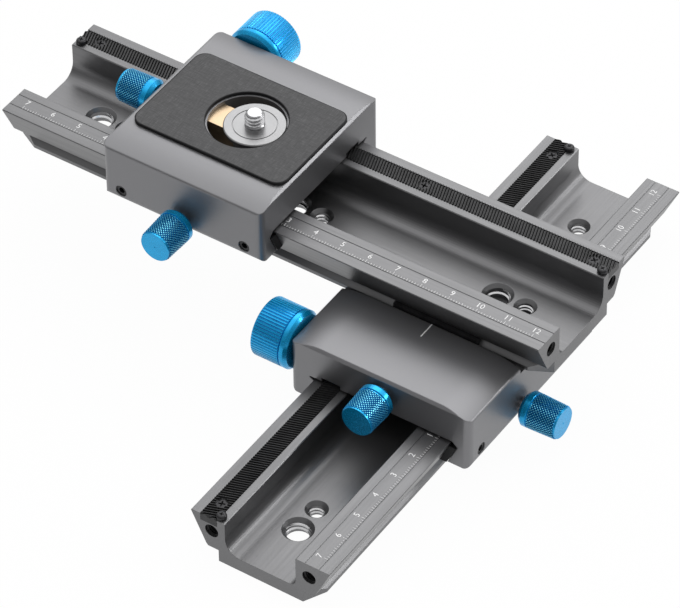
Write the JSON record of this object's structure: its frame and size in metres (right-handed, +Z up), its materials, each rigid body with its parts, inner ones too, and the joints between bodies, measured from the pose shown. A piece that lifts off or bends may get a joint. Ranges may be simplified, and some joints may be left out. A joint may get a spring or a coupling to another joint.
{
  "type": "macro focusing rail",
  "caption": "Cross focusing rail: two dovetail slides at right angles, each moved by a slanted rack and pinion with a fluted knob, with a round camera plate on top.",
  "frame": {"origin": "centre of the lower rail's middle large tripod thread, on the underside of its foot", "axes": "+Z up; +Y along the lower rail, towards the high end of its scale; +X across it, towards the scale, and along the upper rail towards its high end"},
  "size_m": [0.2064, 0.2, 0.0628],
  "materials": {
    "rail_anodised": "mid-grey anodised, fine matt grain",
    "carriage_anodised": "grey satin anodised",
    "rack_steel": "blackened, cut teeth",
    "black_screws": "blackened",
    "black_gib": "matt black bearing strip",
    "dark_jaw": "dark anodised",
    "blue_anodised": "bright blue anodised, turned",
    "bright_steel": "turned and polished",
    "brass": "milled",
    "pad": "matt, finely speckled"
  },
  "bodies": {
    "root": {"lower_rail": "rail_anodised", "lower_rack": "rack_steel", "lower_rack_screws": "black_screws", "lower_stop_screws": "black_screws"},
    "lower_carriage": {"lower_carriage": "carriage_anodised", "lower_gib": "black_gib", "lower_gib_screws": "black_screws", "lower_bushes": "brass"},
    "lower_focus": {"lower_pinion_shaft": "bright_steel", "lower_focus_knob": "blue_anodised"},
    "lower_lock": {"lower_lock_knob": "blue_anodised", "lower_lock_spindle": "bright_steel"},
    "jaw": {"clamp_jaw": "dark_jaw"},
    "jaw_drive": {"jaw_knob": "blue_anodised", "jaw_spindle": "bright_steel"},
    "upper_rail": {"upper_rail": "rail_anodised", "upper_rack": "rack_steel", "upper_rack_screws": "black_screws", "upper_stop_screws": "black_screws"},
    "upper_carriage": {"upper_carriage": "carriage_anodised", "upper_gib": "black_gib", "upper_gib_screws": "black_screws", "upper_bushes": "brass", "support_pad": "pad"},
    "upper_focus": {"upper_pinion_shaft": "bright_steel", "upper_focus_knob": "blue_anodised"},
    "upper_lock": {"upper_lock_knob": "blue_anodised", "upper_lock_spindle": "bright_steel"},
    "clamp_block": {"plate_clamp_block": "brass"},
    "plate_drive": {"plate_clamp_knob": "blue_anodised", "plate_clamp_spindle": "bright_steel"},
    "plate": {"adapter_plate": "bright_steel", "camera_screw": "bright_steel"}
  },
  "joints": [
    {"name": "lower_slide", "type": "slide", "parent": "root", "child": "lower_carriage", "axis": [0, 1, 0], "range_m": [-0.0617, 0.0581]},
    {"name": "lower_focus_turn", "type": "hinge", "parent": "lower_carriage", "child": "lower_focus", "pos_m": [-0.04, -0.0217, 0.02229], "axis": [-1, 0, 0], "range_deg": [-681, 642]},
    {"name": "lower_lock_turn", "type": "hinge", "parent": "lower_carriage", "child": "lower_lock", "pos_m": [0.04, 0.0006, 0.012], "axis": [-1, 0, 0], "range_deg": [-180, 0]},
    {"name": "jaw_slide", "type": "slide", "parent": "lower_carriage", "child": "jaw", "axis": [0, 1, 0], "range_m": [-0.0009, 0]},
    {"name": "jaw_knob_turn", "type": "hinge", "parent": "jaw", "child": "jaw_drive", "pos_m": [0, -0.02, 0.024], "axis": [0, 1, 0], "range_deg": [-412.5, 5.7]},
    {"name": "upper_rail_slide", "type": "slide", "parent": "lower_carriage", "child": "upper_rail", "axis": [1, 0, 0], "range_m": [-0.009, 0.129]},
    {"name": "upper_slide", "type": "slide", "parent": "upper_rail", "child": "upper_carriage", "axis": [1, 0, 0], "range_m": [-0.0402, 0.092]},
    {"name": "upper_focus_turn", "type": "hinge", "parent": "upper_carriage", "child": "upper_focus", "pos_m": [-0.1041, 0.0604, 0.04889], "axis": [0, 1, 0], "range_deg": [-444, 1016]},
    {"name": "upper_lock_turn", "type": "hinge", "parent": "upper_carriage", "child": "upper_lock", "pos_m": [-0.0859, -0.0196, 0.0386], "axis": [0, 1, 0], "range_deg": [-180, 0]},
    {"name": "clamp_block_slide", "type": "slide", "parent": "upper_carriage", "child": "clamp_block", "axis": [1, 0, 0], "range_m": [-0.0025, 0]},
    {"name": "plate_clamp_turn", "type": "hinge", "parent": "clamp_block", "child": "plate_drive", "pos_m": [-0.123, 0.0204, 0.0506], "axis": [1, 0, 0], "range_deg": [-1134, 5.7]},
    {"name": "plate_lift", "type": "slide", "parent": "upper_carriage", "child": "plate", "axis": [0, 0, 1], "range_m": [0, 0.012]}
  ],
  "couplings": [
    {"joint": "lower_focus_turn", "follows": "lower_slide", "rad_per_m": 192.5},
    {"joint": "upper_focus_turn", "follows": "upper_slide", "rad_per_m": 192.5},
    {"joint": "jaw_knob_turn", "follows": "jaw_slide", "rad_per_m": 7854},
    {"joint": "plate_clamp_turn", "follows": "clamp_block_slide", "rad_per_m": 7854}
  ]
}
